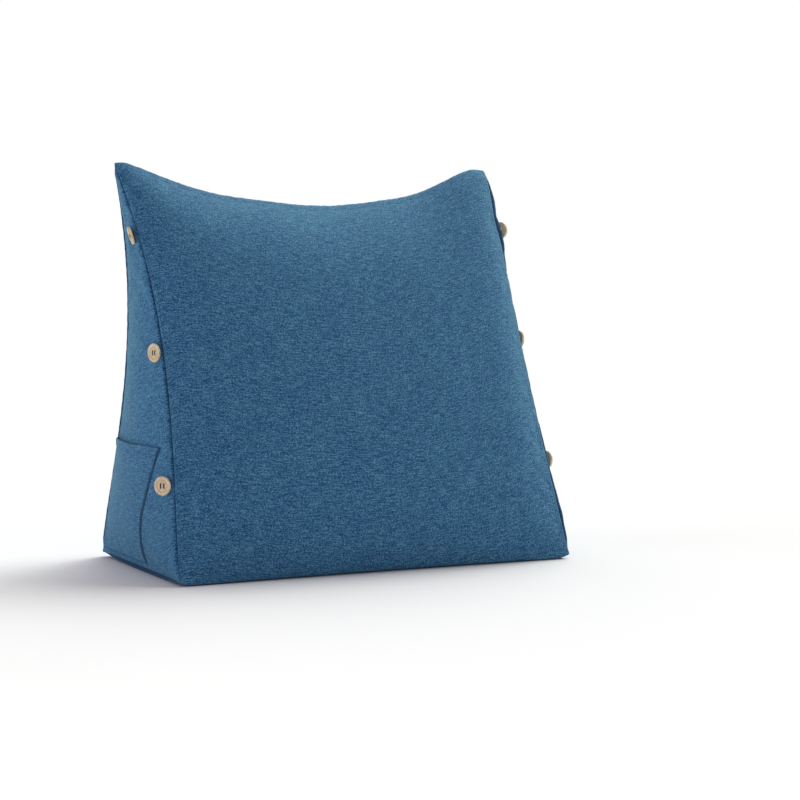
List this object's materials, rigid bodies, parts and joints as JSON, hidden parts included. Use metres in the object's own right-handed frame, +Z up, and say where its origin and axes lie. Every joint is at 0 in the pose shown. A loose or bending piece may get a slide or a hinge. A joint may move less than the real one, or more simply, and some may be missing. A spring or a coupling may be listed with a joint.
{
  "type": "wedge cushion",
  "caption": "Stuffed triangular wedge back cushion in blue linen-look cloth, with a patch pocket on one side and wooden buttons down both sides.",
  "frame": {"origin": "centre of the bounding box at floor level, where the base rests", "axes": "+X to the side without the pocket, +Y towards the steep back panel, +Z up; the sloping front panel faces -Y"},
  "size_m": [0.5664, 0.3172, 0.524],
  "materials": {
    "cloth": "matte woven linen look",
    "button_wood": "smooth pale wood"
  },
  "bodies": {
    "root": {"cushion": "cloth", "side_pocket": "cloth", "button_1": "button_wood", "button_2": "button_wood", "button_3": "button_wood", "button_4": "button_wood", "button_5": "button_wood", "button_6": "button_wood"}
  },
  "joints": []
}
